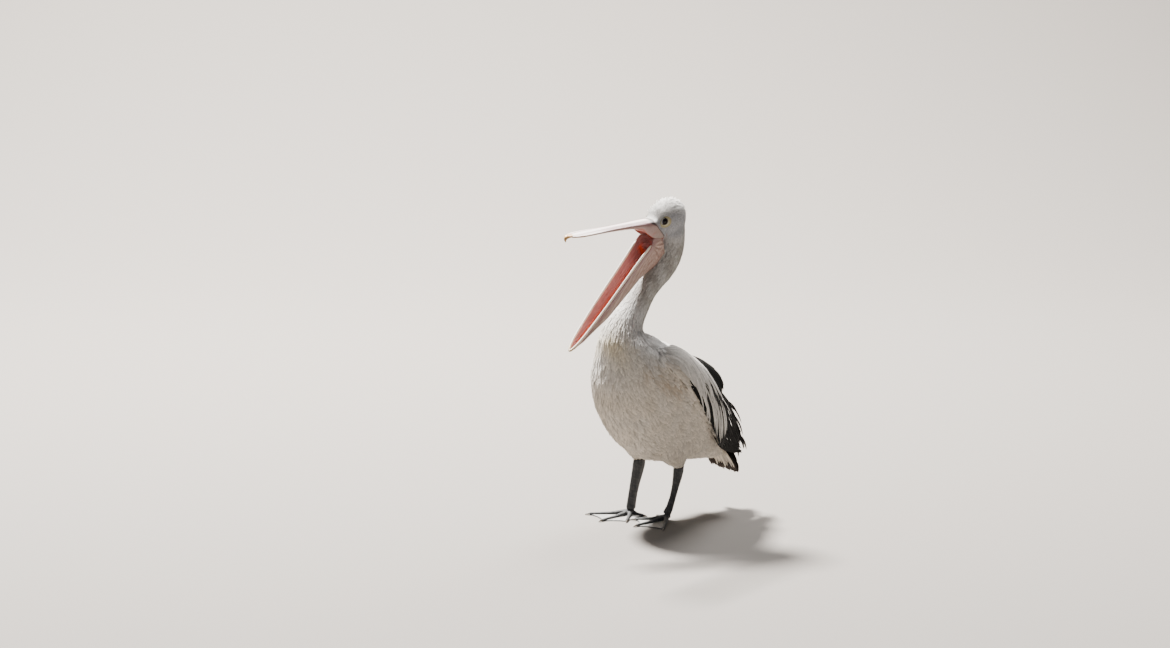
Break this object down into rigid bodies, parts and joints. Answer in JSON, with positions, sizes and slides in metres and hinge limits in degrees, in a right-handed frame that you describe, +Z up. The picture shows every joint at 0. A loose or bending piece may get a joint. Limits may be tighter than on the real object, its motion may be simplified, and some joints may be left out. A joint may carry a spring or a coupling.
{
  "type": "pelican",
  "caption": "Life-size Australian pelican standing upright on both webbed feet with its long bill held wide open and its wings folded.",
  "frame": {"origin": "on the floor under the middle of the whole bird's bounding box", "axes": "+Z up; the body faces -Y, and the bird's left side is +X"},
  "size_m": [0.296, 0.6776, 0.8715],
  "materials": {
    "white_plumage": "soft white body feathers, cream on the breast, grey down the back of the neck",
    "black_plumage": "black to brown-black flight, shoulder and tail feathers with a faint satin sheen",
    "bill": "bare pink horn and cheek skin, satin",
    "bill_nail": "orange-brown horn, satin",
    "jaw": "cream horn, satin",
    "pouch": "thin ribbed skin, pinkish outside and mauve to red inside, slightly moist",
    "eye": "dark brown, wet gloss",
    "leg": "slate-grey scaly skin, paler on the webs",
    "claw": "dark horn"
  },
  "bodies": {
    "root": {"head": "white_plumage", "neck": "white_plumage", "trunk": "white_plumage", "wing_left": "white_plumage", "wing_right": "white_plumage", "thigh_left": "white_plumage", "thigh_right": "white_plumage", "flight_left": "black_plumage", "flight_right": "black_plumage", "scapulars_left": "black_plumage", "scapulars_right": "black_plumage", "tail": "black_plumage", "bill_upper": "bill", "bill_nail": "bill_nail", "mandible": "jaw", "pouch": "pouch", "eye_left": "eye", "eye_right": "eye", "leg_left": "leg", "foot_left": "leg", "claw_outer_left": "claw", "claw_middle_left": "claw", "claw_inner_left": "claw", "claw_hind_left": "claw", "leg_right": "leg", "foot_right": "leg", "claw_outer_right": "claw", "claw_middle_right": "claw", "claw_inner_right": "claw", "claw_hind_right": "claw"}
  },
  "joints": []
}
